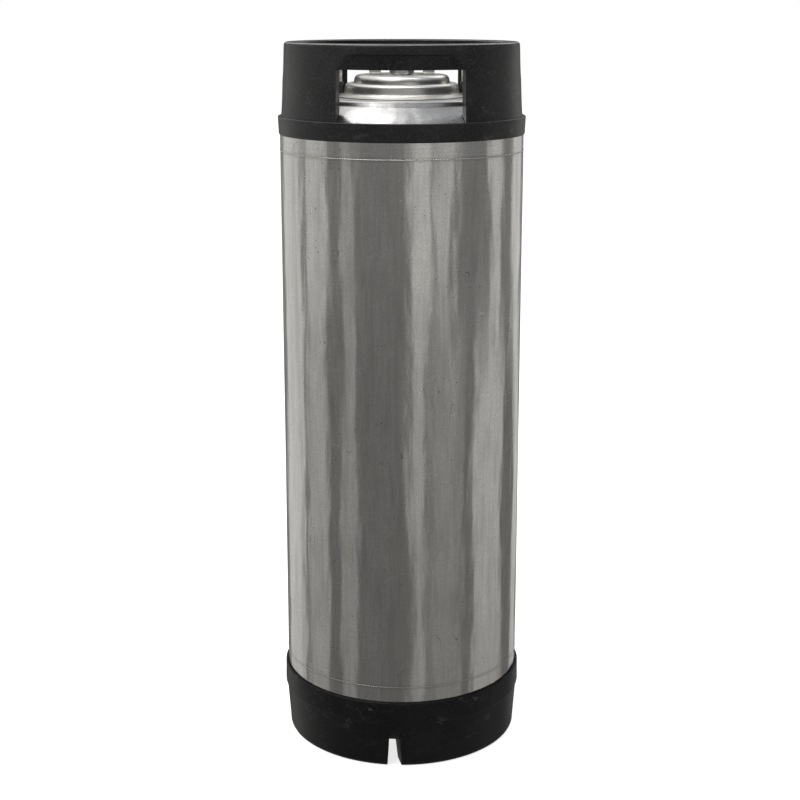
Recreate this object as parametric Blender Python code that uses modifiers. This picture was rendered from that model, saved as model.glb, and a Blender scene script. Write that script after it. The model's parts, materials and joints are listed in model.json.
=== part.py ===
"""A 19 litre steel beverage keg with a rubber top chime, a rubber base boot, a bail-clamped lid and two valve posts.

Metres, +Z up. The origin is the centre of the base, on the surface that the keg stands on. The keg's
carrying windows face -Y and +Y, the gas post is at -X and the liquid post at +X.
"""

import math

import bmesh
import bpy
from mathutils import Matrix, Vector

# Driving dimensions
KEG_HEIGHT = 0.6385
BODY_RADIUS = 0.108
SHEET = 0.0012
GAP = 0.0003
UPPER_SEAM = 0.5448
LOWER_SEAM = 0.0768
SEAM_LAP = 0.009

# Top head
SHOULDER_RADIUS = 0.013
SHOULDER_Z = 0.5637
CONE_ANGLE = 56
CREASE_RADIUS = 0.0848
CREASE_Z = 0.5862
PLATEAU_Z = 0.591
POST_OFFSET = 0.0705

# Bottom head
KNUCKLE_RADIUS = 0.028
KNUCKLE_Z = 0.045
SUMP_Z = 0.0123

# Rubber chime and boot
LIP_RADIUS = 0.1098
LIP_LOW_RADIUS = 0.1090
LIP_BOTTOM = 0.5587
LIP_TOP = 0.5740
RIM_RADIUS = 0.1036
RIM_INNER = 0.091
CHIME_INNER = 0.093
WINDOW_WIDTH = 0.1076
WINDOW_NEAR_WIDTH = 0.1012
WINDOW_FAR_WIDTH = 0.1168
WINDOW_TOP = 0.6172
GRIP_TOP = 0.6295
GRIP_TOP_WIDTH = 0.0885
BOOT_TOP = 0.0625
BOOT_STEP = 0.0425
BOOT_RADIUS = 0.1107
BOOT_FOOT_RADIUS = 0.1033
BOOT_INNER = 0.090
NOTCH_HEIGHT = 0.0354
NOTCH_ANGLE = math.radians(-4.5)
NOTCH_TURN = math.radians(13.0)

# Oval lid: every ring is an ellipse whose half length is its half width plus OVAL_EXTRA
OVAL_EXTRA = 0.0075
OVAL_FULL_INSIDE = 0.058
OVAL_NONE_OUTSIDE = 0.078
OVAL_START = 0.020
COLLAR_TOP = 0.603
COLLAR_SHEET = 0.0016
LID_TOP = 0.6097
LID_HALF_WIDTH = 0.0423
LID_FLANGE_HALF_WIDTH = 0.0473
LID_SEAL_WIRE = 0.00265

# Bail
PIVOT_Z = 0.6175
BAIL_WIRE = 0.0023
BAIL_LEG_X = 0.014
BAIL_GRIP_X = 0.020
BAIL_GRIP_Y = 0.040
BAIL_GRIP_Z = 0.6225
BAIL_BEND_Y = 0.028
BAIL_BEND_Z = 0.6195
BAIL_FOOT_X = 0.0548
FOOT_RADIUS = 0.0034
FOOT_TIP = 0.5934
FOOT_BORE_END = 0.5985
FOOT_TOP = 0.6035
SADDLE_X = 0.0236
SADDLE_WIDTH = 0.0102

# Round resolution
ROUND = 44
SMALL_ROUND = 16
SEAL_SIDES = 6

KEG = "keg"
CUTTERS = "keg_cutters"


def clear_scene():
    for obj in list(bpy.data.objects):
        bpy.data.objects.remove(obj, do_unlink=True)


def collection(name):
    made = bpy.data.collections.new(name)
    bpy.context.scene.collection.children.link(made)
    return made


def material(name, colour, roughness, metallic):
    made = bpy.data.materials.new(name)
    made.use_nodes = True
    shader = made.node_tree.nodes["Principled BSDF"]
    shader.inputs["Base Color"].default_value = (*colour, 1.0)
    shader.inputs["Roughness"].default_value = roughness
    shader.inputs["Metallic"].default_value = metallic
    made.diffuse_color = (*colour, 1.0)
    return made


def add_object(name, data, paint, where=KEG):
    obj = bpy.data.objects.new(name, data)
    if paint:
        data.materials.append(paint)
    bpy.data.collections[where].objects.link(obj)
    return obj


def evaluated_mesh(obj):
    """The object's mesh with its modifiers applied, its coincident points welded."""
    bpy.context.view_layer.update()
    graph = bpy.context.evaluated_depsgraph_get()
    mesh = bpy.data.meshes.new_from_object(obj.evaluated_get(graph))
    work = bmesh.new()
    work.from_mesh(mesh)
    bmesh.ops.remove_doubles(work, verts=work.verts, dist=1e-6)
    work.to_mesh(mesh)
    work.free()
    return mesh


def frozen(obj, name=None):
    """Replaces obj by a plain mesh object of the same shape and place."""
    mesh = evaluated_mesh(obj)
    where = obj.users_collection[0]
    paint = obj.data.materials[0] if obj.data.materials else None
    final_name = name or obj.name
    place = obj.matrix_world.copy()
    bpy.data.objects.remove(obj, do_unlink=True)
    made = bpy.data.objects.new(final_name, mesh)
    made.matrix_world = place
    if paint and not mesh.materials:
        mesh.materials.append(paint)
    where.objects.link(made)
    return made


def arc(centre_r, centre_z, radius, start, end, count):
    """Points (r, z) on an arc, angles in degrees from the +r direction."""
    steps = [start + (end - start) * i / (count - 1) for i in range(count)]
    return [
        (centre_r + radius * math.cos(math.radians(a)), centre_z + radius * math.sin(math.radians(a)))
        for a in steps
    ]


def lathe(name, profile, paint, sides=ROUND, at=(0.0, 0.0), where=KEG):
    """Turns a profile of (r, z) points about the vertical axis at the point at. The profile runs down its
    outer side. It is closed on itself unless its two ends lie on the axis."""
    mesh = bpy.data.meshes.new(name)
    points = [(r, 0.0, z) for r, z in profile]
    edges = [(i, i + 1) for i in range(len(points) - 1)]
    if profile[0][0] > 0.0:
        edges.append((len(points) - 1, 0))
    mesh.from_pydata(points, edges, [])
    obj = add_object(name, mesh, paint, where)
    screw = obj.modifiers.new("turn", "SCREW")
    screw.steps = sides
    screw.render_steps = sides
    screw.use_merge_vertices = True
    screw.merge_threshold = 0.00001
    screw.use_normal_calculate = False
    obj.location = (at[0], at[1], 0.0)
    return obj


def oval_share(radius):
    """How much of the oval's extra length a ring of this radius takes: none at the keg's wall and at the centre."""
    outward = (OVAL_NONE_OUTSIDE - radius) / (OVAL_NONE_OUTSIDE - OVAL_FULL_INSIDE)
    inward = radius / OVAL_START
    return max(0.0, min(1.0, outward, inward))


def make_oval(obj):
    """Stretches a turned shape along Y, so that its rings near the lid become ellipses."""
    made = frozen(obj)
    for vertex in made.data.vertices:
        radius = math.hypot(vertex.co.x, vertex.co.y)
        if radius > 0.0:
            vertex.co.y += OVAL_EXTRA * oval_share(radius) * vertex.co.y / radius
    return made


def torus(name, paint, ring, wire, z, at=(0.0, 0.0), sides=SMALL_ROUND, around=SEAL_SIDES):
    """A seal ring: a circle of radius wire turned about the axis at radius ring."""
    profile = [
        (ring + wire * math.cos(-2 * math.pi * i / around), z + wire * math.sin(-2 * math.pi * i / around))
        for i in range(around)
    ]
    return lathe(name, profile, paint, sides, at)


def prism(name, paint, sides, corner_radius, low, high, at, where=KEG):
    """An upright prism, such as a hexagon, between two heights."""
    mesh = bpy.data.meshes.new(name)
    work = bmesh.new()
    bmesh.ops.create_cone(
        work, cap_ends=True, segments=sides, radius1=corner_radius, radius2=corner_radius, depth=high - low
    )
    work.to_mesh(mesh)
    work.free()
    obj = add_object(name, mesh, paint, where)
    obj.location = (at[0], at[1], (low + high) / 2)
    return obj


def tapered_block(name, corner, where=CUTTERS):
    """A cube whose eight corners are placed by corner(side, depth, level), each argument -1 or 1."""
    mesh = bpy.data.meshes.new(name)
    work = bmesh.new()
    bmesh.ops.create_cube(work, size=2.0)
    for vertex in work.verts:
        side, depth, level = (round(c) for c in vertex.co)
        vertex.co = Vector(corner(side, depth, level))
    work.to_mesh(mesh)
    work.free()
    return as_cutter(add_object(name, mesh, None, where))


def as_cutter(obj):
    obj.hide_render = True
    obj.display_type = "WIRE"
    return obj


def boolean(obj, other, operation="DIFFERENCE"):
    cut = obj.modifiers.new(operation.lower(), "BOOLEAN")
    cut.operation = operation
    cut.object = other
    cut.solver = "EXACT"
    return obj


def wire(name, points, radius, paint, resolution=2, cyclic=False):
    """A round wire along a list of points."""
    data = bpy.data.curves.new(name, "CURVE")
    data.dimensions = "3D"
    data.bevel_depth = radius
    data.bevel_resolution = resolution
    data.use_fill_caps = not cyclic
    spline = data.splines.new("POLY")
    spline.points.add(len(points) - 1)
    for place, point in zip(spline.points, points):
        place.co = (*point, 1.0)
    spline.use_cyclic_u = cyclic
    return add_object(name, data, paint)


def rounded_path(corners, radius, steps=4):
    """The corners joined by straight runs, each inner corner rounded by a short curve."""
    corners = [Vector(c) for c in corners]
    points = [corners[0]]
    for before, here, after in zip(corners, corners[1:], corners[2:]):
        into = (before - here).normalized()
        out = (after - here).normalized()
        cut = min(radius, (before - here).length / 2, (after - here).length / 2)
        start, end = here + into * cut, here + out * cut
        for i in range(steps + 1):
            t = i / steps
            points.append(start * (1 - t) ** 2 + here * 2 * t * (1 - t) + end * t**2)
    points.append(corners[-1])
    return [tuple(p) for p in points]


def coil(name, paint, at, low, high, ring, thickness, turns, per_turn=10):
    """A compression spring standing on the axis at the point at."""
    low, high = low + thickness, high - thickness
    count = turns * per_turn
    points = []
    for i in range(count + 1):
        turn = 2 * math.pi * i / per_turn
        z = low + (high - low) * i / count
        points.append((at[0] + ring * math.cos(turn), at[1] + ring * math.sin(turn), z))
    return wire(name, points, thickness, paint, resolution=1)


# The steel vessel


def shoulder(radius, start, end, count):
    return arc(BODY_RADIUS - SHOULDER_RADIUS, SHOULDER_Z, radius, start, end, count)


def knuckle(radius, start, end, count):
    return arc(BODY_RADIUS - KNUCKLE_RADIUS, KNUCKLE_Z, radius, start, end, count)


def make_body_wall(steel):
    inner = BODY_RADIUS - SHEET
    profile = [(BODY_RADIUS, UPPER_SEAM), (BODY_RADIUS, LOWER_SEAM), (inner, LOWER_SEAM), (inner, UPPER_SEAM)]
    lathe("body_wall", profile, steel)


def make_top_head(steel):
    """The upper dome: a plateau with an oval hole, a riser, a sloping shoulder and a skirt that laps inside the wall."""
    hole = 0.0495
    lap = BODY_RADIUS - SHEET - GAP
    skirt_low = UPPER_SEAM + GAP
    outer = [(hole, PLATEAU_Z), (0.060, PLATEAU_Z), (0.0785, PLATEAU_Z), (0.0812, 0.5905), (0.0828, 0.5894)]
    outer += [(0.0834, 0.5878), (CREASE_RADIUS, CREASE_Z)] + shoulder(SHOULDER_RADIUS, CONE_ANGLE, 4, 6)
    outer += [(BODY_RADIUS, SHOULDER_Z), (BODY_RADIUS, skirt_low), (lap, skirt_low), (lap, UPPER_SEAM - SEAM_LAP)]
    under = [(lap - SHEET, UPPER_SEAM - SEAM_LAP), (lap - SHEET, skirt_low + SHEET)]
    under += [(BODY_RADIUS - SHEET, skirt_low + SHEET), (BODY_RADIUS - SHEET, SHOULDER_Z)]
    under += shoulder(SHOULDER_RADIUS - SHEET, 12, CONE_ANGLE, 5)
    under += [(CREASE_RADIUS - 0.0010, CREASE_Z - SHEET), (0.0822, 0.5869), (0.0814, 0.5886)]
    under += [(0.0780, PLATEAU_Z - SHEET), (0.060, PLATEAU_Z - SHEET), (hole, PLATEAU_Z - SHEET)]
    head = make_oval(lathe("top_head", outer + under, steel))
    for side, label in ((-1, "gas"), (1, "liquid")):
        hole_cutter = prism(
            f"{label}_port_hole", None, SMALL_ROUND, 0.0081, 0.580, 0.600, (side * POST_OFFSET, 0.0), CUTTERS
        )
        boolean(head, as_cutter(hole_cutter))


def make_bottom_head(steel):
    """The lower dome: a skirt that laps inside the wall, a knuckle and a shallow bowl that falls to a sump."""
    lap = BODY_RADIUS - SHEET - GAP
    skirt_top = LOWER_SEAM - GAP
    bowl = [(0.060, 0.0158), (0.035, 0.0138), (0.014, 0.0126), (0.0, SUMP_Z)]
    inner_bowl = [(r, z + SHEET) for r, z in reversed(bowl)]
    profile = inner_bowl + knuckle(KNUCKLE_RADIUS - SHEET, -90, 0, 6)
    profile += [(BODY_RADIUS - SHEET, skirt_top - SHEET), (lap - SHEET, skirt_top - SHEET)]
    profile += [(lap - SHEET, LOWER_SEAM + SEAM_LAP), (lap, LOWER_SEAM + SEAM_LAP), (lap, skirt_top)]
    profile += [(BODY_RADIUS, skirt_top)] + knuckle(KNUCKLE_RADIUS, 0, -90, 6) + bowl
    lathe("bottom_head", profile, steel)


def make_lid_collar(steel):
    """The raised oval ring round the lid opening. The lid's seal presses up against its underside."""
    outer = [(0.0575, 0.5929), (0.0575, 0.5913), (0.0500, 0.5913), (0.0493, 0.5940), (0.0489, 0.5986)]
    outer += [(0.0483, 0.6004), (0.0472, COLLAR_TOP - COLLAR_SHEET), (0.0432, COLLAR_TOP - COLLAR_SHEET)]
    outer += [(0.0430, 0.6023), (0.0440, COLLAR_TOP), (0.0476, COLLAR_TOP), (0.0496, 0.6016), (0.0505, 0.5990)]
    outer += [(0.0510, 0.5945), (0.0528, 0.5931)]
    make_oval(lathe("lid_collar", outer, steel))


# The rubber mouldings


def make_top_chime(rubber):
    """The moulded ring glued over the shoulder, with a carrying window front and back."""
    fit = SHOULDER_RADIUS + GAP
    outer = [(0.0990, KEG_HEIGHT), (0.1017, KEG_HEIGHT - 0.0009), (0.1031, KEG_HEIGHT - 0.0030)]
    outer += [(RIM_RADIUS, KEG_HEIGHT - 0.0065), (0.1042, 0.6160), (0.1063, LIP_TOP + 0.0010)]
    outer += [(LIP_RADIUS - 0.0003, LIP_TOP - 0.0004), (LIP_RADIUS, LIP_TOP - 0.0020)]
    outer += [(LIP_LOW_RADIUS, LIP_BOTTOM + 0.0010), (BODY_RADIUS + GAP, LIP_BOTTOM)]
    inner = shoulder(fit, 0, CONE_ANGLE, 5)
    inner += [(CHIME_INNER + 0.0005, 0.5812), (CHIME_INNER, 0.5836), (CHIME_INNER, 0.6260)]
    inner += [(RIM_INNER, 0.6300), (RIM_INNER, KEG_HEIGHT - 0.0015), (RIM_INNER + 0.0015, KEG_HEIGHT)]
    chime = lathe("top_chime", outer + inner, rubber)
    near, far = 0.074, 0.114
    face = [(far, GRIP_TOP), (far, WINDOW_TOP - 0.001), (0.0968, WINDOW_TOP - 0.001), (0.1002, GRIP_TOP)]

    for side, label in ((-1, "front"), (1, "back")):

        def window_corner(across, depth, level, side=side):
            outside = depth * side > 0
            half = WINDOW_FAR_WIDTH / 2 if outside else WINDOW_NEAR_WIDTH / 2
            return (across * half, side * (far if outside else near), WINDOW_TOP if level > 0 else LIP_TOP)

        def grip_corner(across, depth, level, side=side):
            half = GRIP_TOP_WIDTH / 2 if level > 0 else WINDOW_WIDTH / 2
            y = side * (far if depth * side > 0 else near)
            return (across * half, y, GRIP_TOP + 0.001 if level > 0 else WINDOW_TOP - 0.002)

        boolean(chime, tapered_block(f"{label}_window", window_corner))
        recess = as_cutter(lathe(f"{label}_grip", face, None, where=CUTTERS))
        boolean(recess, tapered_block(f"{label}_grip_side", grip_corner), "INTERSECT")
        boolean(chime, recess)


def make_base_boot(rubber):
    """The moulded foot ring glued over the knuckle, with four drain notches."""
    outer = [(BODY_RADIUS + GAP, BOOT_TOP), (0.1101, BOOT_TOP), (0.1105, BOOT_TOP - 0.0008)]
    outer += [(BOOT_RADIUS, BOOT_STEP + 0.0008), (0.1098, BOOT_STEP), (0.1069, 0.0060), (0.1058, 0.0018)]
    outer += [(BOOT_FOOT_RADIUS, 0.0), (BOOT_INNER, 0.0), (0.0885, 0.0015)]
    outer += knuckle(KNUCKLE_RADIUS + GAP, -74, 0, 6)
    boot = lathe("base_boot", outer, rubber)
    near, far = 0.084, 0.114

    def notch_corner(across, depth, level):
        outside = depth < 0
        half = 0.0058 if outside else 0.0016
        flare = 0.0 if level > 0 else 0.0016 if outside else 0.0034
        return (across * (half + flare), -far if outside else -near, NOTCH_HEIGHT if level > 0 else -0.002)

    middle = Vector((0.0, -0.098, 0.0))
    turn = Matrix.Translation(middle) @ Matrix.Rotation(NOTCH_TURN, 4, "Z") @ Matrix.Translation(-middle)
    for quarter in range(4):
        notch = tapered_block(f"drain_notch_{quarter + 1}", notch_corner)
        notch.matrix_world = Matrix.Rotation(NOTCH_ANGLE + quarter * math.pi / 2, 4, "Z") @ turn
        boolean(boot, notch)


# The lid, its seal, bail and relief valve


def make_lid(steel, rubber):
    hole = 0.0073
    top = [(hole, LID_TOP), (0.0370, LID_TOP), (0.0400, 0.6089), (0.0418, 0.6072), (LID_HALF_WIDTH, 0.6050)]
    rim = [(LID_HALF_WIDTH, 0.5960), (0.0428, 0.5953), (0.0467, 0.5953), (LID_FLANGE_HALF_WIDTH, 0.5947)]
    rim += [(LID_FLANGE_HALF_WIDTH, 0.5936), (0.0467, 0.5930), (0.0412, 0.5930)]
    under = [(0.0405, 0.5940), (0.0405, 0.6048), (0.0395, 0.6066), (0.0370, 0.6079), (hole, 0.6079)]
    make_oval(lathe("lid_plate", top + rim + under, steel))
    seal_ring = LID_HALF_WIDTH + LID_SEAL_WIRE + 0.00035
    make_oval(torus("lid_seal", rubber, seal_ring, LID_SEAL_WIRE, 0.5983, sides=ROUND))


def make_saddles(steel):
    """Two bent straps that hold the bail's wire to the lid: an arch over the wire with a flat foot each side."""
    base, thickness = LID_TOP + GAP, 0.0014
    inside, outside = BAIL_WIRE + 0.0004, BAIL_WIRE + 0.0004 + 0.0014
    arch_out = arc(0.0, PIVOT_Z, outside, 0, 180, 9)
    arch_in = arc(0.0, PIVOT_Z, inside, 180, 0, 9)
    outline = [(0.0085, base), (0.0085, base + thickness), (outside, base + thickness)] + arch_out
    outline += [(-outside, base + thickness), (-0.0085, base + thickness), (-0.0085, base), (-inside, base)]
    outline += arch_in + [(inside, base)]
    for side, label in ((-1, "left"), (1, "right")):
        data = bpy.data.curves.new(f"bail_saddle_{label}", "CURVE")
        data.dimensions = "2D"
        data.fill_mode = "BOTH"
        data.extrude = SADDLE_WIDTH / 2
        spline = data.splines.new("POLY")
        spline.points.add(len(outline) - 1)
        for place, (y, z) in zip(spline.points, outline):
            place.co = (y, z, 0.0, 1.0)
        spline.use_cyclic_u = True
        saddle = add_object(f"bail_saddle_{label}", data, steel)
        saddle.matrix_world = Matrix(
            ((0.0, 0.0, 1.0, side * SADDLE_X), (1.0, 0.0, 0.0, 0.0), (0.0, 1.0, 0.0, 0.0), (0.0, 0.0, 0.0, 1.0))
        )


def make_bail(steel, vinyl):
    """The clamping lever: one bent wire with a grip at the back and a capped foot each side of the lid."""
    half = [(BAIL_GRIP_X, BAIL_GRIP_Y, BAIL_GRIP_Z), (BAIL_GRIP_X - 0.0015, BAIL_BEND_Y, BAIL_BEND_Z)]
    half += [(BAIL_LEG_X, 0.008, PIVOT_Z), (BAIL_LEG_X + 0.001, 0.0, PIVOT_Z), (BAIL_FOOT_X, 0.0, PIVOT_Z)]
    half += [(BAIL_FOOT_X, 0.0, FOOT_BORE_END + GAP)]
    other = [(-x, y, z) for x, y, z in reversed(half)]
    bail = wire("bail_handle", rounded_path(other + half, 0.0042), BAIL_WIRE, steel)
    bail_pivot = bpy.data.objects.new("bail_pivot", None)
    bail_pivot.location = (0.0, 0.0, PIVOT_Z)
    bpy.data.collections[KEG].objects.link(bail_pivot)
    bpy.context.view_layer.update()
    bail.parent = bail_pivot
    bail.matrix_parent_inverse = bail_pivot.matrix_world.inverted()
    bore = BAIL_WIRE + GAP
    cap = [(FOOT_RADIUS, FOOT_TOP)] + arc(0.0, FOOT_TIP + FOOT_RADIUS, FOOT_RADIUS, 0, -90, 5)
    cap = cap[:-1] + [(0.0, FOOT_TIP)]
    inside = [(0.0, FOOT_BORE_END), (bore, FOOT_BORE_END), (bore, FOOT_TOP)]
    for side, label in ((-1, "left"), (1, "right")):
        lathe(f"bail_foot_{label}", inside + cap, vinyl, SMALL_ROUND, (side * BAIL_FOOT_X, 0.0))


def make_relief_valve(steel, rubber, spring_steel):
    """The pressure relief valve in the middle of the lid: bung, hexagon body, sprung stem, cap and pull ring."""
    bung = [(0.0095, 0.6075), (0.0095, 0.5985), (0.0065, 0.5985), (0.0065, 0.6093), (0.0070, 0.6093)]
    bung += [(0.0070, 0.6075)]
    lathe("relief_bung", bung, steel, SMALL_ROUND)

    hexagon = prism("relief_body", steel, 6, 0.0109, LID_TOP + GAP, 0.6160, (0.0, 0.0))
    shank = [(0.0, 0.6205), (0.0082, 0.6205), (0.0082, 0.6150), (0.0061, 0.6150), (0.0061, 0.5975), (0.0, 0.5975)]
    boolean(hexagon, as_cutter(lathe("relief_shank", shank, None, SMALL_ROUND, where=CUTTERS)), "UNION")
    bore = [(0.0, 0.6215), (0.0051, 0.6215), (0.0051, 0.6040), (0.0030, 0.6030), (0.0030, 0.5965), (0.0, 0.5965)]
    boolean(hexagon, as_cutter(lathe("relief_bore", bore, None, SMALL_ROUND, where=CUTTERS)))

    cap = [(0.0020, 0.6232), (0.0076, 0.6232), (0.0082, 0.6226), (0.0082, 0.6208), (0.0047, 0.6208)]
    cap += [(0.0047, 0.6178), (0.0020, 0.6178)]
    lathe("relief_cap", cap, steel, SMALL_ROUND)

    stem = [(0.0, 0.6290), (0.0012, 0.6288), (0.0022, 0.6278), (0.0022, 0.6245), (0.0016, 0.6238)]
    stem += [(0.0016, 0.6068), (0.0044, 0.6066), (0.0044, 0.6049), (0.0, 0.6049)]
    poppet = lathe("relief_stem", stem, steel, 12)
    eye = prism("ring_eye", None, 10, 0.0013, -0.005, 0.005, (0.0, 0.0), CUTTERS)
    eye.matrix_world = Matrix.Translation((0.0, 0.0, RING_EYE_Z)) @ Matrix.Rotation(math.pi / 2, 4, "Y")
    boolean(poppet, as_cutter(eye))
    torus("relief_seal", rubber, 0.0037, 0.0004, 0.6045)

    coil("relief_spring", spring_steel, (0.0, 0.0), 0.6070, 0.6174, 0.0034, 0.0005, 5)

    tilt = math.radians(RING_REST_DROP)
    centre = Vector((0.0, -RING_RADIUS * math.cos(tilt), RING_EYE_Z - RING_RADIUS * math.sin(tilt)))
    along = Vector((0.0, math.cos(tilt), math.sin(tilt)))
    points = []
    for i in range(24):
        turn = 2 * math.pi * i / 24
        points.append(tuple(centre + RING_RADIUS * (Vector((math.sin(turn), 0, 0)) + along * math.cos(turn))))
    wire("pull_ring", points, RING_WIRE, spring_steel, resolution=1, cyclic=True)


# The two valve posts

RING_EYE_Z = 0.6262
RING_RADIUS = 0.0105
RING_WIRE = 0.0009
RING_REST_DROP = 24.0


def make_port(label, x, steel):
    """The threaded spud welded into the head."""
    profile = [(0.0050, 0.6005), (0.0076, 0.6005), (0.0076, 0.5933), (0.0102, 0.5933), (0.0102, 0.5913)]
    profile += [(0.0076, 0.5913), (0.0076, 0.5840), (0.0050, 0.5840)]
    lathe(f"{label}_port", profile, steel, SMALL_ROUND, (x, 0.0))


def make_post(label, x, steel, rubber):
    """The hexagon post that a disconnect snaps on, screwed over the port."""
    at = (x, 0.0)
    post = prism(f"{label}_post", steel, 6, 0.0127, 0.5940, 0.6030, at)
    stack = [(0.0, 0.6250), (0.0066, 0.6250), (0.0080, 0.6244), (0.0087, 0.6230), (0.0087, 0.6204)]
    stack += [(0.0066, 0.6204), (0.0066, 0.6172), (0.0087, 0.6172), (0.0087, 0.6056), (0.0108, 0.6025)]
    stack += [(0.0, 0.6025)]
    boolean(post, as_cutter(lathe(f"{label}_stack", stack, None, SMALL_ROUND, at, CUTTERS)), "UNION")
    bore = [(0.0, 0.6260), (0.0032, 0.6260), (0.0032, 0.6222), (0.0050, 0.6200), (0.0050, 0.6140)]
    bore += [(0.0067, 0.6122), (0.0067, 0.6015), (0.0080, 0.6012), (0.0080, 0.5930), (0.0, 0.5930)]
    boolean(post, as_cutter(lathe(f"{label}_bore", bore, None, SMALL_ROUND, at, CUTTERS)))
    if label == "gas":
        groove = [(0.0140, 0.5994), (0.0140, 0.5978), (0.0116, 0.5978), (0.0116, 0.5994)]
        boolean(post, as_cutter(lathe("gas_notch", groove, None, 24, at, CUTTERS)))
    torus(f"{label}_post_seal", rubber, 0.00805, 0.00115, 0.6188, at)


def make_poppet(label, x, steel, rubber, spring_steel):
    """The spring-loaded valve inside a post."""
    at = (x, 0.0)
    profile = [(0.0, 0.6244), (0.0013, 0.6243), (0.0017, 0.6239), (0.0020, 0.6216), (0.0020, 0.6192)]
    profile += [(0.0043, 0.6190), (0.0043, 0.6162), (0.0019, 0.6160), (0.0017, 0.6085), (0.0, 0.6083)]
    lathe(f"{label}_poppet", profile, steel, 12, at)
    torus(f"{label}_poppet_seal", rubber, 0.0031, 0.0007, 0.6202, at, sides=16)
    coil(f"{label}_poppet_spring", spring_steel, at, 0.6046, 0.6158, 0.0034, 0.0005, 5)


def make_tube_seal(label, x, rubber):
    torus(f"{label}_tube_seal", rubber, 0.00525, 0.0009, 0.6018, (x, 0.0), sides=16)


TUBE_OUTER = 0.0039
TUBE_INNER = 0.0031
FLANGE_RADIUS = 0.0063
FLANGE_LOW = 0.6031
FLANGE_TOP = 0.6043


def make_gas_tube(x, steel):
    """A short straight tube that lets gas in above the liquid."""
    profile = [(TUBE_INNER, FLANGE_TOP), (FLANGE_RADIUS, FLANGE_TOP), (FLANGE_RADIUS, FLANGE_LOW)]
    profile += [(TUBE_OUTER, FLANGE_LOW), (TUBE_OUTER, 0.5600), (TUBE_INNER, 0.5600)]
    lathe("gas_dip_tube", profile, steel, 16, (x, 0.0))


def make_liquid_tube(x, steel):
    """The long tube that runs down inside the wall and bends across to the sump in the middle of the base."""
    lower = [(x, 0.0, 0.19), (x, 0.0, 0.115), (0.046, 0.0, 0.055), (0.012, 0.0, 0.0225)]
    points = [(x, 0.0, FLANGE_TOP - 0.0003), (x, 0.0, 0.4)] + rounded_path(lower, 0.045, 6)
    data = bpy.data.curves.new("tube_line", "CURVE")
    data.dimensions = "3D"
    data.bevel_depth = TUBE_OUTER
    data.bevel_resolution = 2
    spline = data.splines.new("POLY")
    spline.points.add(len(points) - 1)
    for place, point in zip(spline.points, points):
        place.co = (*point, 1.0)
    tube = frozen(add_object("tube_line", data, steel), "liquid_dip_tube")
    wall = tube.modifiers.new("wall", "SOLIDIFY")
    wall.thickness = TUBE_OUTER - TUBE_INNER
    wall.offset = -1.0
    wall.use_rim = True
    tube = frozen(tube)
    flange = [(TUBE_OUTER - 0.0004, FLANGE_TOP), (FLANGE_RADIUS, FLANGE_TOP), (FLANGE_RADIUS, FLANGE_LOW)]
    flange += [(TUBE_OUTER - 0.0004, FLANGE_LOW)]
    ring = as_cutter(lathe("tube_flange", flange, None, 16, (x, 0.0), CUTTERS))
    boolean(tube, ring, "UNION")


def main():
    clear_scene()
    collection(KEG)
    collection(CUTTERS)
    brushed = material("brushed_stainless", (0.56, 0.555, 0.54), 0.34, 1.0)
    polished = material("polished_stainless", (0.70, 0.70, 0.69), 0.15, 1.0)
    turned = material("turned_stainless", (0.66, 0.66, 0.65), 0.22, 1.0)
    spring_steel = material("spring_wire", (0.60, 0.60, 0.60), 0.28, 1.0)
    rubber = material("moulded_rubber", (0.035, 0.035, 0.037), 0.62, 0.0)
    seal = material("seal_rubber", (0.02, 0.02, 0.02), 0.45, 0.0)
    vinyl = material("black_vinyl", (0.03, 0.03, 0.03), 0.45, 0.0)

    make_body_wall(brushed)
    make_top_head(polished)
    make_bottom_head(brushed)
    make_lid_collar(polished)
    make_top_chime(rubber)
    make_base_boot(rubber)
    make_lid(polished, seal)
    make_saddles(polished)
    make_bail(polished, vinyl)
    make_relief_valve(turned, seal, spring_steel)
    for label, x in (("gas", -POST_OFFSET), ("liquid", POST_OFFSET)):
        make_port(label, x, turned)
        make_post(label, x, turned, seal)
        make_poppet(label, x, turned, seal, spring_steel)
        make_tube_seal(label, x, seal)
    make_gas_tube(-POST_OFFSET, turned)
    make_liquid_tube(POST_OFFSET, turned)


main()
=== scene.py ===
import json
import math
import bmesh
import bpy
import numpy as np
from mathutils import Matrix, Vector


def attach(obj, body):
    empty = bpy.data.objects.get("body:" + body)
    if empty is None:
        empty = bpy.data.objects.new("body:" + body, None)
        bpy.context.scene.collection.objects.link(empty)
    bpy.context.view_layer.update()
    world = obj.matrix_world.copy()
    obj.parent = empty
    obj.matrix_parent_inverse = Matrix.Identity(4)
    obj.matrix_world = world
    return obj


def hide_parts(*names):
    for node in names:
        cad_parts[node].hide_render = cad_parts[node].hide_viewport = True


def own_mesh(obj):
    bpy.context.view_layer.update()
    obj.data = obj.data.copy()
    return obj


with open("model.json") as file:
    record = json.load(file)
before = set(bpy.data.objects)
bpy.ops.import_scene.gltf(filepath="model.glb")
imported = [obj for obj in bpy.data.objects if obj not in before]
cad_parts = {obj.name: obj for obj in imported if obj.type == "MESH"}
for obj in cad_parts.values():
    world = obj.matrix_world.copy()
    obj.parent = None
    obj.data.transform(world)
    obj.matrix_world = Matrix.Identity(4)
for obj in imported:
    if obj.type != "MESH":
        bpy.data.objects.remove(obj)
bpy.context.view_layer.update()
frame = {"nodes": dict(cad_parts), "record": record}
print("frame loaded:", len(frame["nodes"]), "parts")

# lengths are metres; an azimuth is measured at the keg's axis, from the front (-Y) towards +X


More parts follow.
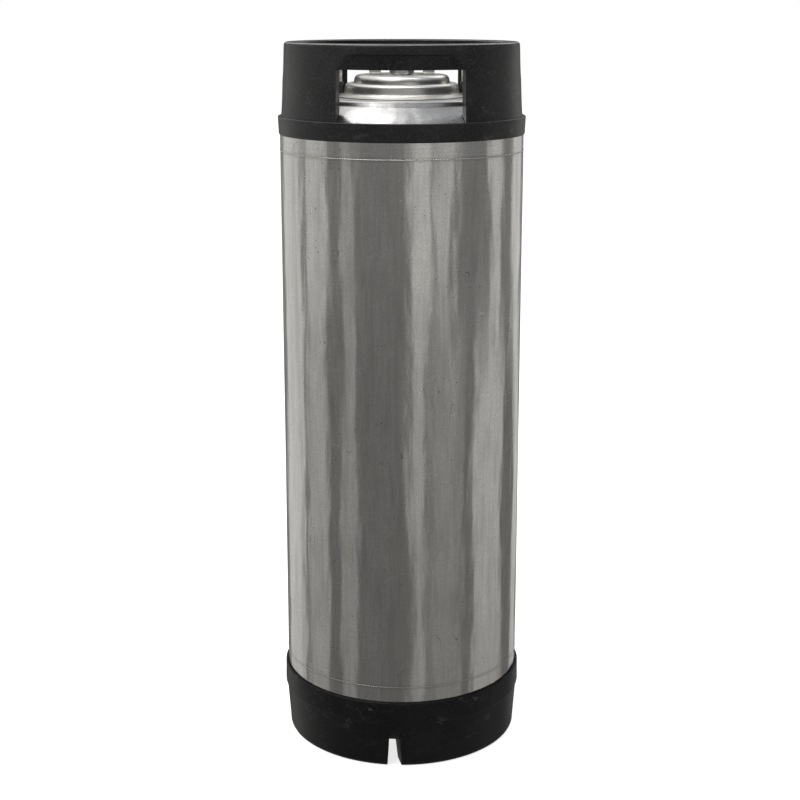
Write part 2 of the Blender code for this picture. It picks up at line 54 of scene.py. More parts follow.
def softened(corners, steps=6, closed=False):
    # each corner (..., size) becomes a curve that leaves one side and joins the next, size away from the
    # corner; the curve is the blend a(1-t)^2 + 2bt(1-t) + ct^2 of the two joins a, c and the corner b
    table = np.asarray(corners, float)
    places, sizes = table[:, :-1], table[:, -1]
    t = np.linspace(0, 1, steps)[:, None]
    runs = []
    for k, size in enumerate(sizes):
        inner = closed or 0 < k < len(places) - 1
        if not inner or size == 0:
            runs.append(places[k][None])
            continue
        before, after = places[k - 1] - places[k], places[(k + 1) % len(places)] - places[k]
        a = places[k] + before / np.linalg.norm(before) * min(size, np.linalg.norm(before) * 0.499)
        c = places[k] + after / np.linalg.norm(after) * min(size, np.linalg.norm(after) * 0.499)
        runs.append(a * (1 - t) ** 2 + places[k] * 2 * t * (1 - t) + c * t**2)
    return np.concatenate(runs)


def arcRun(centreR, centreZ, radius, start, end, count):
    # points on a circle in the (r, z) plane, between two angles in degrees from the outward direction
    a = np.radians(np.linspace(start, end, count))
    return np.stack([centreR + radius * np.cos(a), centreZ + radius * np.sin(a)], 1)


def gridFaces(columns, rows, closedRows=True, closedColumns=True):
    # the quads of a grid, as point numbers column * rows + row, turned so that a profile run down an outer
    # side faces out
    i = np.arange(columns if closedColumns else columns - 1)[:, None]
    j = np.arange(rows if closedRows else rows - 1)[None]
    ni, nj = (i + 1) % columns, (j + 1) % rows
    return np.stack([i * rows + j, i * rows + nj, ni * rows + nj, ni * rows + j], -1)


def meshPiece(name, points, faces, look, body, stands, sharpAngle=38):
    mesh = bpy.data.meshes.new(name)
    mesh.from_pydata(points.reshape(-1, 3).tolist(), [], faces.reshape(-1, faces.shape[-1]).tolist())
    work = bmesh.new()
    work.from_mesh(mesh)
    bmesh.ops.remove_doubles(work, verts=work.verts, dist=2e-6)
    bmesh.ops.delete(work, geom=[v for v in work.verts if not v.link_faces], context="VERTS")
    work.to_mesh(mesh)
    work.free()
    mesh.shade_smooth()
    mesh.set_sharp_from_angle(angle=math.radians(sharpAngle))
    piece = bpy.data.objects.new(name, mesh)
    bpy.context.scene.collection.objects.link(piece)
    mesh.materials.append(look)
    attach(piece, body)
    if stands:
        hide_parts(*stands)
    return piece


def roundEdges(piece, width):
    rounding = piece.modifiers.new("edges", "BEVEL")
    rounding.width = width
    rounding.segments = 3
    rounding.limit_method = "ANGLE"
    rounding.angle_limit = math.radians(42)


def ring(azimuth, profile):
    # (r, z) carried round the axis: x = r sin azimuth, y = -r cos azimuth
    r, z = profile[..., 0], profile[..., 1]
    return np.stack([r * np.sin(azimuth), -r * np.cos(azimuth), z + 0 * azimuth], -1)


def turned(name, profile, look, body, stands=(), at=(0, 0), columns=96, closed=True, shape=None,
        sharpAngle=38):
    # the profile turned round an upright axis; shape(azimuth, r, z) may change the radius
    azimuth = np.linspace(0, 2 * np.pi, columns, endpoint=False)[:, None]
    r, z = profile[None, :, 0], profile[None, :, 1]
    if shape:
        r = shape(azimuth, r, z)
    points = ring(azimuth, np.stack(np.broadcast_arrays(r, z + 0 * azimuth), -1))
    points[..., 0] += at[0]
    points[..., 1] += at[1]
    return meshPiece(name, points, gridFaces(columns, len(profile), closed), look, body, stands,
        sharpAngle)


ovalShape = {"extra": 0.0075, "fullInside": 0.058, "noneOutside": 0.078, "start": 0.020}


def ovalRing(name, profile, look, body, stands, columns=160):
    # a turned shape whose rings near the lid are longer along Y: y grows by extra times a share that fades
    # from 1 at fullInside to 0 at noneOutside, and to 0 towards the centre
    azimuth = np.linspace(0, 2 * np.pi, columns, endpoint=False)[:, None]
    points = ring(azimuth, profile[None])
    r = profile[None, :, 0]
    o = ovalShape
    share = np.clip(np.minimum((o["noneOutside"] - r) / (o["noneOutside"] - o["fullInside"]),
        r / o["start"]), 0, 1)
    points[..., 1] -= o["extra"] * share * np.cos(azimuth)
    return meshPiece(name, points, gridFaces(columns, len(profile), True), look, body, stands)


def tube(name, path, radius, look, body, stands=(), sides=20, closed=False):
    # a circle carried along a path; across and up are square to the path's direction, and round ends close it
    path = np.asarray(path, float)
    if closed:
        along = np.roll(path, -1, 0) - np.roll(path, 1, 0)
    else:
        along = np.gradient(path, axis=0)
    along /= np.linalg.norm(along, axis=1)[:, None]
    width = np.full(len(path), radius)
    if not closed:
        bend = np.radians(np.linspace(90, 12, 6))
        first = path[0] - along[0] * radius * np.sin(bend)[:, None]
        last = path[-1] + along[-1] * radius * np.sin(bend[::-1])[:, None]
        path = np.concatenate([first, path, last])
        along = np.concatenate([np.repeat(along[:1], 6, 0), along, np.repeat(along[-1:], 6, 0)])
        width = np.concatenate([radius * np.cos(bend), width, radius * np.cos(bend[::-1])])
    across = np.cross(along, [0.31, 0.23, 0.92])
    across /= np.linalg.norm(across, axis=1)[:, None]
    up = np.cross(across, along)
    turn = np.linspace(0, 2 * np.pi, sides, endpoint=False)[None, :, None]
    points = path[:, None] + width[:, None, None] * (across[:, None] * np.cos(turn) + up[:, None]
        * np.sin(turn))
    faces = gridFaces(len(path), sides, True, closed)
    return meshPiece(name, points, faces[..., ::-1], look, body, stands, 60)


# the camera, the lights and the floor
studio = {
    "cameraAcross": -0.0016, "cameraDistance": 1.3895, "cameraHeight": 0.6687, "lookDown": 13.03,
    "lens": 69.82, "shift": -0.04375, "floorGlow": 0.72, "floorColour": 0.75,
    "keyPower": 10.0, "backPower": 6.0, "stripPower": 20.0, "topPower": 9.5,
}

cameraData = bpy.data.cameras.new("camera")
cameraData.lens = studio["lens"]
cameraData.sensor_width = 36
cameraData.shift_y = studio["shift"]
camera = bpy.data.objects.new("camera", cameraData)
bpy.context.scene.collection.objects.link(camera)
camera.location = (studio["cameraAcross"], -studio["cameraDistance"], studio["cameraHeight"])
camera.rotation_euler = (math.radians(90 - studio["lookDown"]), 0, 0)
bpy.context.scene.camera = camera
bpy.context.scene.view_settings.view_transform = "Standard"


def node(tree, kind, settings=None, **sockets):
    made = tree.nodes.new(kind)
    for key, value in (settings or {}).items():
        setattr(made, key, value)
    for key, value in sockets.items():
        socket = made.inputs[int(key[1:]) if key[1:].isdigit() else key.replace("_", " ")]
        if isinstance(value, bpy.types.NodeSocket):
            tree.links.new(value, socket)
        else:
            socket.default_value = value
    return made


def maths(tree, how, a, b=0.0):
    return node(tree, "ShaderNodeMath", {"operation": how}, i0=a, i1=b).outputs[0]


def times(tree, a, b):
    return node(tree, "ShaderNodeVectorMath", {"operation": "MULTIPLY"}, i0=a, i1=b).outputs[0]


def fade(tree, value, low, high, toLow=0.0, toHigh=1.0):
    made = node(tree, "ShaderNodeMapRange", {"interpolation_type": "SMOOTHSTEP"}, i0=value)
    for k, v in enumerate((low, high, toLow, toHigh)):
        if isinstance(v, bpy.types.NodeSocket):
            tree.links.new(v, made.inputs[k + 1])
        else:
            made.inputs[k + 1].default_value = v
    return made.outputs[0]


def blendColours(tree, factor, a, b):
    made = tree.nodes.new("ShaderNodeMix")
    made.data_type = "RGBA"
    for socket, value in ((made.inputs[0], factor), (made.inputs[6], a), (made.inputs[7], b)):
        if isinstance(value, bpy.types.NodeSocket):
            tree.links.new(value, socket)
        else:
            socket.default_value = value if isinstance(value, float) else (*value, 1.0)
    return made.outputs[2]


def colourRamp(tree, value, stops):
    made = node(tree, "ShaderNodeValToRGB", None, i0=value)
    made.color_ramp.elements[0].position = stops[0][0]
    made.color_ramp.elements[0].color = (*stops[0][1], 1)
    made.color_ramp.elements[1].position = stops[-1][0]
    made.color_ramp.elements[1].color = (*stops[-1][1], 1)
    for place, colour in stops[1:-1]:
        made.color_ramp.elements.new(place).color = (*colour, 1)
    return made.outputs[0]


def studioWorld():
    # a soft room: panels of different brightness round the keg and low down, and a sky bright at the left
    world = bpy.data.worlds.new("studio")
    bpy.context.scene.world = world
    world.use_nodes = True
    tree = world.node_tree
    tree.nodes.clear()
    way = node(tree, "ShaderNodeTexCoord").outputs["Generated"]
    parts = node(tree, "ShaderNodeSeparateXYZ", None, i0=way).outputs
    azimuth = maths(tree, "ARCTAN2", parts[0], maths(tree, "MULTIPLY", parts[1], -1.0))
    place = maths(tree, "ADD", maths(tree, "DIVIDE", azimuth, 2 * math.pi), 0.5)

    def panels(base, placed):
        # a colour ramp round the room: a plain wall of one brightness, with soft panels stood in front of it, each
        # (centre in degrees, half width, brightness), fading to the wall over softEdge at both sides
        made = [(0.0, (base, base, base))]
        for centre, halfWidth, bright in placed:
            for turn, level in ((-halfWidth - softEdge, base), (-halfWidth, bright), (halfWidth, bright),
                    (halfWidth + softEdge, base)):
                made.append(((centre + turn) / 360 + 0.5, (level, level, level * 0.97)))
        return made + [(1.0, (base, base, base))]

    softEdge = 4
    upper = [(-130, 18, 0.8), (-90, 12, 0.7), (-52, 5, 0.45), (18, 8, 0.7), (42, 8, 0.6), (100, 5, 0.7),
        (140, 12, 0.8)]
    lower = [(-130, 18, 0.8), (-90, 12, 0.5), (-52, 5, 0.4), (16, 6, 0.5), (45, 14, 0.35), (95, 20, 0.6),
        (150, 8, 0.7)]
    sky = [(0.0, (1.00, 1.00, 1.01)), (0.40, (0.88, 0.88, 0.89)), (0.60, (0.42, 0.44, 0.47)),
        (1.0, (0.36, 0.38, 0.42))]
    low = colourRamp(tree, place, panels(0.2, lower))
    high = colourRamp(tree, place, panels(0.25, upper))
    above = colourRamp(tree, maths(tree, "ADD", maths(tree, "MULTIPLY", parts[0], 0.5), 0.5), sky)
    low = blendColours(tree, fade(tree, parts[2], -0.44, -0.28, 0.25, 0.0), low, (0.12, 0.12, 0.12))
    room = blendColours(tree, fade(tree, parts[2], -0.245, -0.165), low, high)
    room = blendColours(tree, fade(tree, parts[2], 0.12, 0.50), room, above)
    seen = node(tree, "ShaderNodeLightPath").outputs["Is Camera Ray"]
    shown = blendColours(tree, seen, room, (1.0, 1.0, 1.0))
    background = node(tree, "ShaderNodeBackground", None, Color=shown, Strength=1.0)
    output = node(tree, "ShaderNodeOutputWorld")
    tree.links.new(background.outputs[0], output.inputs[0])


def areaLight(name, place, targetHeight, size, power):
    data = bpy.data.lights.new(name, "AREA")
    data.shape = "RECTANGLE"
    data.size, data.size_y = size
    data.energy = power
    lamp = bpy.data.objects.new(name, data)
    bpy.context.scene.collection.objects.link(lamp)
    lamp.location = place
    lamp.rotation_euler = (Vector((0, 0, targetHeight)) - Vector(place)).to_track_quat("-Z", "Y").to_euler()
    lamp.visible_camera = False


studioWorld()
areaLight("keyLight", (-1.1, -1.5, 2.3), 0.4, (1.2, 1.2), studio["keyPower"])
areaLight("backLight", (0.9, 1.7, 1.9), 0.6, (1.2, 0.8), studio["backPower"])
areaLight("ceilingStrip", (0, -0.55, 2.5), 0.6, (2.6, 0.35), studio["stripPower"])
areaLight("topPanel", (-0.62, 0.35, 2.6), 0.6, (1.2, 0.9), studio["topPower"])

floorMesh = bpy.data.meshes.new("floor")
floorMesh.from_pydata([(-9, -9, -0.0002), (9, -9, -0.0002), (9, 9, -0.0002), (-9, 9, -0.0002)], [],
    [(0, 1, 2, 3)])
floor = bpy.data.objects.new("floor", floorMesh)
bpy.context.scene.collection.objects.link(floor)
floorPaint = bpy.data.materials.new("floorPaint")
floorPaint.use_nodes = True
floorShader = floorPaint.node_tree.nodes["Principled BSDF"]
floorShader.inputs["Base Color"].default_value = (studio["floorColour"],) * 3 + (1,)
floorShader.inputs["Roughness"].default_value = 0.9
floorShader.inputs["Emission Color"].default_value = (1, 1, 1, 1)
floorShader.inputs["Emission Strength"].default_value = studio["floorGlow"]
floorMesh.materials.append(floorPaint)
floor.visible_glossy = False
print("camera, light and floor done")


# the finishes: four shared effects first, then each material with its own values


def newGroup(name, inputs, outputs):
    group = bpy.data.node_groups.new(name, "ShaderNodeTree")
    for socketName, kind, value in inputs:
        socket = group.interface.new_socket(name=socketName, in_out="INPUT", socket_type=kind)
        if value is not None:
            socket.default_value = value
    for socketName, kind in outputs:
        group.interface.new_socket(name=socketName, in_out="OUTPUT", socket_type=kind)
    return group, group.nodes.new("NodeGroupInput"), group.nodes.new("NodeGroupOutput")


def streakGroup():
    # noise pulled out along one direction: the place is multiplied by Pull, and the noise is cut between Low
    # and High
    group, given, result = newGroup("streaks", [
        ("Vector", "NodeSocketVector", None), ("Pull", "NodeSocketVector", (1, 1, 1)),
        ("Detail", "NodeSocketFloat", 3.0),
        ("Low", "NodeSocketFloat", 0.35), ("High", "NodeSocketFloat", 0.65)],
        [("Mask", "NodeSocketFloat"), ("Value", "NodeSocketFloat")])
    moved = times(group, given.outputs[0], given.outputs[1])
    noise = node(group, "ShaderNodeTexNoise", None, Vector=moved, Scale=1.0, Detail=given.outputs[2],
        Roughness=0.55).outputs[0]
    group.links.new(fade(group, noise, given.outputs[3], given.outputs[4]), result.inputs[0])
    group.links.new(noise, result.inputs[1])
    return group


def scratchGroup():
    # hairlines: the narrow band where a bent, pulled-out noise crosses its middle, kept only in some patches
    group, given, result = newGroup("hairlines", [
        ("Vector", "NodeSocketVector", None), ("Pull", "NodeSocketVector", (30, 30, 30)),
        ("Width", "NodeSocketFloat", 0.006),
        ("Cover", "NodeSocketFloat", 0.5)], [("Mask", "NodeSocketFloat")])
    moved = times(group, given.outputs[0], given.outputs[1])
    noise = node(group, "ShaderNodeTexNoise", None, Vector=moved, Scale=1.0, Detail=1.5,
        Roughness=0.4).outputs[0]
    offset = maths(group, "ABSOLUTE", maths(group, "SUBTRACT", noise, 0.5))
    line = fade(group, offset, given.outputs[2], 0.0)
    patch = node(group, "ShaderNodeTexNoise", None, Vector=given.outputs[0], Scale=46.0, Detail=2.0,
        Roughness=0.6).outputs[0]
    kept = fade(group, patch, given.outputs[3], maths(group, "ADD", given.outputs[3], 0.08))
    group.links.new(maths(group, "MULTIPLY", line, kept), result.inputs[0])
    return group


def speckGroup():
    # small spots: inside a set distance of scattered points, with a noise deciding where there are any
    group, given, result = newGroup("specks", [
        ("Vector", "NodeSocketVector", None), ("PerMetre", "NodeSocketFloat", 120.0),
        ("Size", "NodeSocketFloat", 0.12),
        ("Cover", "NodeSocketFloat", 0.5)], [("Mask", "NodeSocketFloat")])
    spots = node(group, "ShaderNodeTexVoronoi", None, Vector=given.outputs[0], Scale=given.outputs[1],
        Randomness=1.0).outputs["Distance"]
    dot = fade(group, spots, given.outputs[2], maths(group, "MULTIPLY", given.outputs[2], 0.5))
    patch = node(group, "ShaderNodeTexNoise", None, Vector=given.outputs[0], Scale=19.0, Detail=3.0,
        Roughness=0.6).outputs[0]
    kept = fade(group, patch, given.outputs[3], maths(group, "ADD", given.outputs[3], 0.1))
    group.links.new(maths(group, "MULTIPLY", dot, kept), result.inputs[0])
    return group


def bandGroup():
    # a level band: 1 at Height, fading to 0 at Spread above and below it, broken up by noise
    group, given, result = newGroup("levelBand", [
        ("Vector", "NodeSocketVector", None), ("Height", "NodeSocketFloat", 0.0),
        ("Spread", "NodeSocketFloat", 0.01),
        ("Ragged", "NodeSocketFloat", 0.5)], [("Mask", "NodeSocketFloat")])
    level = node(group, "ShaderNodeSeparateXYZ", None, i0=given.outputs[0]).outputs[2]
    away = maths(group, "DIVIDE", maths(group, "ABSOLUTE", maths(group, "SUBTRACT", level, given.outputs[1])),
        given.outputs[2])
    noise = node(group, "ShaderNodeTexNoise", None, Vector=given.outputs[0], Scale=90.0, Detail=4.0,
        Roughness=0.65).outputs[0]
    torn = maths(group, "MULTIPLY", maths(group, "SUBTRACT", noise, 0.5),
        maths(group, "MULTIPLY", given.outputs[3], 4.0))
    group.links.new(fade(group, maths(group, "ADD", away, torn), 1.0, 0.0), result.inputs[0])
    return group


streaks, hairlines, specks, levelBand = streakGroup(), scratchGroup(), speckGroup(), bandGroup()


class finish:
    # one material under construction: it keeps its tree, its shader and the object's own coordinates
    def __init__(self, name, colour, roughness, metallic):
        self.material = bpy.data.materials.new(name)
        self.material.use_nodes = True
        self.tree = self.material.node_tree
        self.shader = self.tree.nodes["Principled BSDF"]
        self.shader.inputs["Metallic"].default_value = metallic
        self.place = node(self.tree, "ShaderNodeTexCoord").outputs["Object"]
        self.colour, self.roughness, self.height = colour, roughness, None

    def effect(self, group, output="Mask", **values):
        return node(self.tree, "ShaderNodeGroup", {"node_tree": group}, Vector=self.place,
            **values).outputs[output]

    def streak(self, pull, detail, low, high):
        return self.effect(streaks, Pull=pull, Detail=detail, Low=low, High=high)

    def grain(self, pull, detail):
        return self.effect(streaks, "Value", Pull=pull, Detail=detail)

    def scratch(self, pull, width, cover):
        return self.effect(hairlines, Pull=pull, Width=width, Cover=cover)

    def specked(self, perMetre, size, cover):
        return self.effect(specks, PerMetre=perMetre, Size=size, Cover=cover)

    def band(self, height, spread, ragged):
        return self.effect(levelBand, Height=height, Spread=spread, Ragged=ragged)

    def tint(self, mask, colour, amount=1.0):
        self.colour = blendColours(self.tree, maths(self.tree, "MULTIPLY", mask, amount), self.colour, colour)

    def polish(self, value, spread, base):
        self.roughness = maths(self.tree, "ADD", maths(self.tree, "MULTIPLY", value, spread), base)

    def shine(self, mask, change):
        self.roughness = maths(self.tree, "ADD", self.roughness, maths(self.tree, "MULTIPLY", mask, change))

    def relief(self, mask, depth):
        part = maths(self.tree, "MULTIPLY", mask, depth)
        self.height = part if self.height is None else maths(self.tree, "ADD", self.height, part)

    def done(self):
        self.tree.links.new(self.colour, self.shader.inputs["Base Color"])
        self.tree.links.new(self.roughness, self.shader.inputs["Roughness"])
        if self.height is not None:
            bump = node(self.tree, "ShaderNodeBump", None, Strength=1.0, Distance=1.0, Height=self.height)
            self.tree.links.new(bump.outputs[0], self.shader.inputs["Normal"])
        return self.material


# the dark colour of the vertical runs, and their amount, are partly real stain and partly painted reflection
steelLook = {
    "colour": (0.655, 0.648, 0.634), "roughness": 0.085, "brushDepth": 0.000004, "stainAndReflection": (0.40, 0.385, 0.36),
    "stainAndReflectionAmount": 0.55, "scratchColour": (0.78, 0.78, 0.78), "speckColour": (0.10, 0.09, 0.08),
    "warm": (0.60, 0.56, 0.52), "unevenDepth": 0.0013, "heatTintAndShade": (0.30, 0.28, 0.25),
    # (height, spread, amount) of the dark level bands: heat marks along each seam and along the line over the
    # upper one, and painted shade along the plateau's crease
    "heatMarksAndCreaseShade": [(0.5448, 0.0034, 0.40), (0.0768, 0.0034, 0.40), (0.5457, 0.0004, 0.5), (0.5862, 0.0004, 0.65)],
}


def brushedSteel(name, stainAndReflectionAmount, levelAmount, roughness, satin=0.0):
    look = finish(name, steelLook["colour"], roughness, 1.0)
    # the vertical streaks below (mottle, wisps, pale, runs and the fine runs) are partly real stains and partly
    # painted reflection: light and dark vertical bands in the colour standing in for the streaked reflections of a
    # brushed cylinder
    cloud = look.streak((9, 9, 5), 4.0, 0.3, 0.7)
    warm = look.streak((31, 31, 3.5), 3.0, 0.48, 0.68)
    mottle = look.streak((64, 64, 22), 7.0, 0.44, 0.66)
    wisps = look.streak((130, 130, 17), 6.0, 0.50, 0.68)
    pale = look.streak((110, 110, 13), 6.0, 0.54, 0.72)
    runs = look.streak((95, 95, 3.2), 4.0, 0.50, 0.72)
    fineStainAndReflectionRuns = look.streak((620, 620, 24), 4.0, 0.42, 0.66)
    brush = look.grain((7, 7, 2100), 3.0)
    levelGrain = look.streak((30, 30, 800), 3.0, 0.38, 0.64)
    grit = look.streak((760, 760, 620), 3.0, 0.36, 0.66)
    uneven = look.grain((34, 34, 7), 2.0)
    dents = look.grain((90, 90, 26), 3.0)
    look.tint(cloud, (0.565, 0.55, 0.535), 0.55)
    look.tint(warm, steelLook["warm"], 0.45)
    look.tint(mottle, (0.47, 0.46, 0.445), stainAndReflectionAmount * 0.75)
    look.tint(wisps, (0.36, 0.35, 0.335), stainAndReflectionAmount * 0.75)
    look.tint(pale, (0.80, 0.80, 0.795), stainAndReflectionAmount * 0.55)
    look.tint(runs, steelLook["stainAndReflection"], stainAndReflectionAmount)
    look.tint(fineStainAndReflectionRuns, steelLook["stainAndReflection"], stainAndReflectionAmount * 0.55)
    look.tint(levelGrain, (0.47, 0.465, 0.455), levelAmount)
    look.tint(grit, (0.45, 0.445, 0.44), 0.55)
    level = look.scratch((14, 14, 260), 0.006, 0.53)
    loose = look.scratch((46, 46, 60), 0.0035, 0.57)
    dark = look.scratch((60, 60, 24), 0.006, 0.57)
    look.tint(level, steelLook["scratchColour"], 0.35)
    look.tint(loose, steelLook["scratchColour"], 0.5)
    look.tint(dark, (0.16, 0.15, 0.14), 0.6)
    look.tint(look.specked(150.0, 0.11, 0.49), steelLook["speckColour"], 0.8)
    look.tint(look.specked(60.0, 0.10, 0.56), (0.24, 0.22, 0.20), 0.65)
    # the heat marks are real; the band at the plateau's crease is painted shade, a dark line where the crease lies
    # in shade
    for height, spread, amount in steelLook["heatMarksAndCreaseShade"]:
        look.tint(look.band(height, spread, 0.2), steelLook["heatTintAndShade"], amount)
    look.polish(brush, 0.06, roughness)
    look.shine(runs, 0.06)
    look.shine(cloud, 0.03)
    look.shine(mottle, 0.06)
    look.shine(level, 0.14)
    if satin:  # duller towards the top
        look.shine(look.band(0.600, 0.036, 0.0), satin)
    look.relief(brush, steelLook["brushDepth"])
    look.relief(uneven, steelLook["unevenDepth"])
    look.relief(dents, steelLook["unevenDepth"] * 0.12)
    look.relief(loose, -0.000006)
    return look.done()


def brightSteel(name, colour, roughness, rings=0.0):
    look = finish(name, colour, roughness, 1.0)
    cloud = look.streak((60, 60, 60), 4.0, 0.35, 0.7)
    haze = look.grain((700, 700, 700), 3.0)
    scratch = look.scratch((120, 120, 120), 0.008, 0.5)
    look.tint(cloud, tuple(c * 0.86 for c in colour), 0.6)
    look.tint(scratch, tuple(min(1, c * 1.2) for c in colour), 0.5)
    look.tint(look.specked(330.0, 0.10, 0.56), (0.14, 0.12, 0.10), 0.6)
    look.polish(haze, 0.08, roughness)
    look.shine(cloud, 0.07)
    look.shine(scratch, 0.10)
    if rings:
        turning = look.grain((60, 60, 5200), 2.0)
        look.relief(turning, rings)
    look.relief(scratch, -0.000003)
    return look.done()


# the pale tint of the level bands serves both as rubbed wear and as a painted highlight along the chime's rim
rubberLook = {
    "colour": (0.0034, 0.0030, 0.0031), "worn": (0.020, 0.0186, 0.0184), "dust": (0.16, 0.155, 0.15),
    "polished": (0.36, 0.355, 0.35), "speckle": (0.046, 0.043, 0.043), "roughness": 0.34,
    "grainDepth": 0.00004,
}


def mouldedRubber(name, gloss, worn, scuffs, wearAndHighlightBands):
    look = finish(name, rubberLook["colour"], rubberLook["roughness"], 0.0)
    look.shader.inputs["Specular IOR Level"].default_value = gloss
    patches = look.streak((26, 26, 34), 5.0, 0.42, 0.74)
    grain = look.grain((1500, 1500, 1500), 3.0)
    pebble = look.grain((420, 420, 420), 2.0)
    speckle = look.streak((640, 640, 640), 3.0, 0.46, 0.70)
    sideways = look.scratch((24, 24, 190), 0.010, 0.57)
    slanted = look.scratch((70, 70, 90), 0.012, 0.60)
    smudge = look.streak((48, 48, 120), 6.0, 0.60, 0.78)
    look.polish(grain, 0.14, rubberLook["roughness"])
    look.tint(patches, rubberLook["worn"], worn)
    look.tint(speckle, rubberLook["speckle"], worn * 1.2)
    look.tint(smudge, rubberLook["dust"], scuffs * 0.55)
    look.tint(sideways, rubberLook["dust"], scuffs * 0.7)
    look.tint(slanted, rubberLook["dust"], scuffs)
    # each level band is tinted pale and made smoother: rubbed wear, and at the chime's rim corner a painted
    # highlight, the bright line of light along the rim
    for height, spread, amount in wearAndHighlightBands:
        wearAndHighlightMask = look.band(height, spread, 0.15)
        look.tint(wearAndHighlightMask, rubberLook["polished"], amount)
        look.shine(wearAndHighlightMask, -0.12)
    look.tint(look.specked(260.0, 0.16, 0.57), rubberLook["dust"], scuffs)
    look.shine(patches, 0.10)
    look.shine(smudge, 0.15)
    look.relief(grain, rubberLook["grainDepth"] * 0.35)
    look.relief(pebble, rubberLook["grainDepth"])
    look.relief(slanted, -0.00004)
    return look.done()


def weldSteel(name, spots):
    # the bead is duller than the wall, with bright points where it was dressed
    look = finish(name, (0.46, 0.45, 0.43), 0.28, 1.0)
    bright = look.streak((42, 42, 42), 4.0, 0.50, 0.66)
    burnt = look.streak((60, 60, 60), 3.0, 0.50, 0.70)
    look.tint(burnt, (0.30, 0.28, 0.25), 0.5)
    look.tint(bright, (0.80, 0.79, 0.77), spots)
    look.shine(bright, -0.10)
    look.relief(bright, 0.00001)
    return look.done()


def plainSoft(name, colour, roughness, dirt):
    look = finish(name, colour, roughness, 0.0)
    patches = look.streak((180, 180, 180), 4.0, 0.4, 0.7)
    grain = look.grain((2400, 2400, 2400), 2.0)
    look.tint(patches, dirt, 0.5)
    look.tint(look.specked(700.0, 0.15, 0.5), dirt, 0.6)
    look.polish(grain, 0.12, roughness)
    look.relief(grain, 0.00002)
    return look.done()


wallSteel = brushedSteel("wallSteel", steelLook["stainAndReflectionAmount"], 0.22, steelLook["roughness"])
headSteel = brushedSteel("headSteel", 0.26, 0.45, 0.13, 0.26)
pressedSteel = brightSteel("pressedSteel", (0.66, 0.645, 0.61), 0.36)
polishedSteel = brightSteel("polishedSteel", (0.69, 0.675, 0.64), 0.28)
turnedSteel = brightSteel("turnedSteel", (0.66, 0.655, 0.64), 0.22, 0.000004)
wireSteel = brightSteel("wireSteel", (0.62, 0.62, 0.62), 0.22)
beadSteel = weldSteel("beadSteel", 0.3)
dullBead = weldSteel("dullBead", 0.1)
# chimeRubber's first band is a painted highlight along the rim's corner and its second a faint pale band along the
# lip; bootRubber's band is wear along its foot
chimeRubber = mouldedRubber("chimeRubber", 0.33, 0.22, 0.24, [(0.6378, 0.00045, 0.9), (0.5742, 0.0005, 0.06)])
bootRubber = mouldedRubber("bootRubber", 0.13, 0.08, 0.24, [(0.0010, 0.0018, 0.04)])
sealRubber = plainSoft("sealRubber", (0.018, 0.018, 0.018), 0.34, (0.05, 0.05, 0.05))
blackVinyl = plainSoft("blackVinyl", (0.026, 0.026, 0.026), 0.40, (0.075, 0.072, 0.068))
print("finishes done")


vessel = {
    "radius": 0.108, "sheet": 0.0012, "upperSeam": 0.5448, "lowerSeam": 0.0768, "postAt": 0.0705,
    "shoulder": 0.013, "shoulderZ": 0.5637, "coneAngle": 56, "crease": (0.0848, 0.5862), "plateau": 0.591,
    "knuckle": 0.028, "knuckleZ": 0.045, "dent": 0.00016, "columns": 288, "rows": 150,
}


def wallWave(azimuth, z):
    # slow ripples in a rolled wall: a few sine waves round the axis and up it, added together
    wave = 0.9 * np.sin(3 * azimuth + 5.1 * z + 0.7) + 0.7 * np.sin(5 * azimuth - 11.0 * z + 2.1)
    wave += 0.5 * np.sin(9 * azimuth + 17.0 * z + 4.0) + 0.35 * np.sin(14 * azimuth - 23.0 * z + 1.3)
    return wave + 0.25 * np.sin(23 * azimuth + 31.0 * z)


def bodyWall():
    # a cylinder of sheet: r = radius + dent * wallWave outside, fading out over 30 mm at each seam, and
    # r = radius - sheet inside
    v = vessel
    high, low, inside = v["upperSeam"] - 0.0002, v["lowerSeam"] + 0.0002, v["radius"] - v["sheet"]
    outer = np.stack([np.full(v["rows"], v["radius"]), np.linspace(high, low, v["rows"])], 1)
    profile = np.concatenate([outer, [(inside, low), (inside, high)]])

    def dented(azimuth, r, z):
        calm = np.clip(np.minimum(high - z, z - low) / 0.03, 0, 1)
        return r + v["dent"] * calm * wallWave(azimuth, z) * (r > v["radius"] - 0.0005)

    turned("bodyWall", profile, wallSteel, "keg", ["body_wall"], columns=v["columns"], shape=dented)


def topHead():
    # a flat plateau, a cone that drops by run / tan(coneAngle), a shoulder that is an arc of a circle, and a
    # joggled skirt behind the seam; the inside is one sheet lower
    v = vessel
    sheet = v["sheet"]
    skirt = v["upperSeam"] + 0.0003
    centre, (creaseR, creaseZ), coneRun = v["radius"] - v["shoulder"], v["crease"], 0.0050
    plateau = [(0.0495, v["plateau"], 0), (0.0600, v["plateau"], 0), (0.0825, v["plateau"], 0.0042)]
    plateau += [(0.0839, creaseZ + 0.0004, 0.0009),
        (creaseR + coneRun, creaseZ - coneRun / math.tan(math.radians(v["coneAngle"])), 0)]
    outer = np.concatenate([softened(plateau, 7),
        arcRun(centre, v["shoulderZ"], v["shoulder"], v["coneAngle"], 0, 16)])
    outer = np.concatenate([outer, [(v["radius"], skirt), (0.1065, skirt), (0.1065, skirt - 0.009),
        (0.1053, skirt - 0.009)]])
    under = [(0.1053, skirt + sheet), (0.1068, skirt + sheet), (0.1068, v["shoulderZ"])]
    under = np.concatenate([under, arcRun(centre, v["shoulderZ"], v["shoulder"] - sheet, 8,
        v["coneAngle"], 8)])
    under = np.concatenate([under, [(0.0838, 0.5850), (0.0822, 0.5869), (0.0814, 0.5886), (0.0780, 0.5898),
        (0.0495, 0.5898)]])
    ovalRing("topHead", np.concatenate([outer, under]), headSteel, "keg", ["top_head"], 224)


